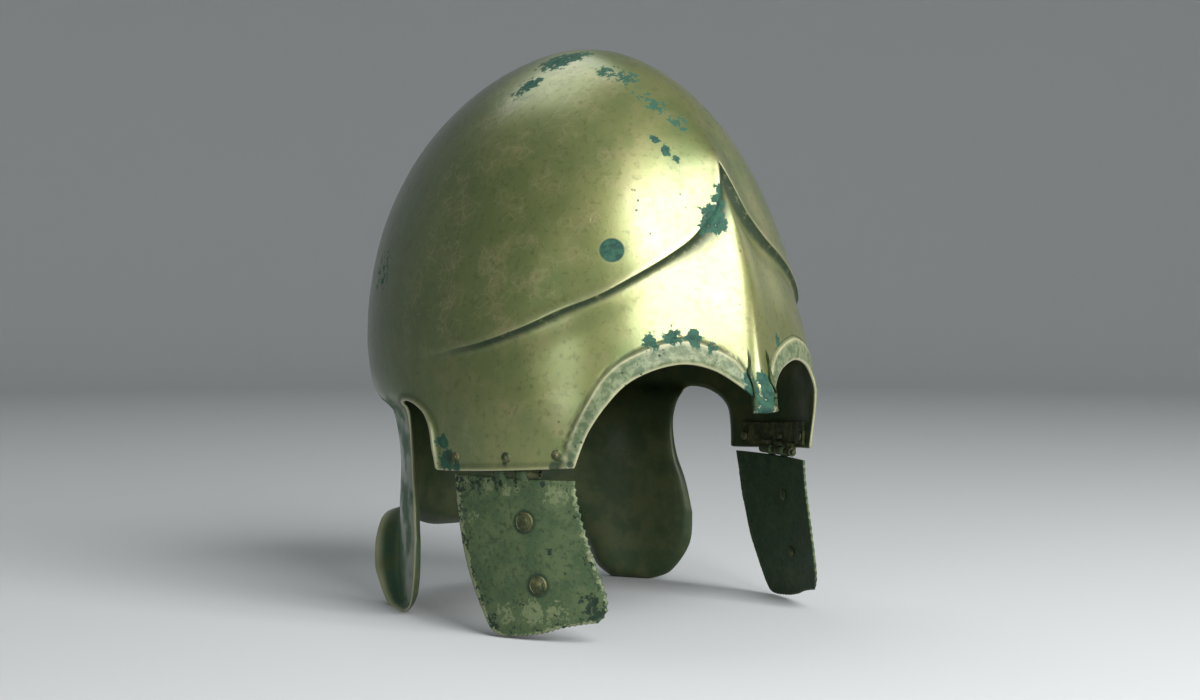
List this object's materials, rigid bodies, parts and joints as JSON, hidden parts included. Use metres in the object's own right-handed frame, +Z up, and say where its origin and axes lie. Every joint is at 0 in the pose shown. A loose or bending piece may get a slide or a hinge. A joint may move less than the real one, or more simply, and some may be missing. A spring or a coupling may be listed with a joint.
{
  "type": "hellenistic helmet",
  "caption": "Domed bronze helmet with a peaked brow ridge, eye arches, a short nose guard, ear openings, a flared neck guard and hinged cheek-pieces.",
  "frame": {"origin": "on the ground, under the middle of the helmet as it stands", "axes": "+Z up, the face looks along -Y, +X towards the wearer's left"},
  "size_m": [0.2004, 0.2456, 0.275],
  "materials": {
    "bronze": "aged, olive gold with green patina",
    "green_bronze": "matt grey-green patina",
    "dark_bronze": "dark matt patina"
  },
  "bodies": {
    "helmet": {"bowl": "bronze", "hinge_leaf_left": "dark_bronze", "hinge_leaf_right": "dark_bronze", "hinge_pin_left": "dark_bronze", "hinge_pin_right": "dark_bronze", "tab_rivet_1_left": "bronze", "tab_rivet_1_right": "bronze", "tab_rivet_2_left": "bronze", "tab_rivet_2_right": "bronze", "tab_rivet_3_left": "bronze", "tab_rivet_3_right": "bronze"},
    "cheek_right": {"cheek_piece_right": "green_bronze", "cheek_rivet_1_right": "green_bronze", "cheek_rivet_2_right": "green_bronze"},
    "cheek_left": {"cheek_piece_left": "green_bronze", "cheek_rivet_1_left": "green_bronze", "cheek_rivet_2_left": "green_bronze"}
  },
  "joints": [
    {"name": "cheek_right_hinge", "type": "hinge", "parent": "helmet", "child": "cheek_right", "pos_m": [-0.08741, -0.04754, 0.075], "axis": [-0.2832, 0.9591, 0], "range_deg": [-25, 80]},
    {"name": "cheek_left_hinge", "type": "hinge", "parent": "helmet", "child": "cheek_left", "pos_m": [0.08741, -0.04754, 0.075], "axis": [-0.2832, -0.9591, 0], "range_deg": [-25, 80]}
  ]
}
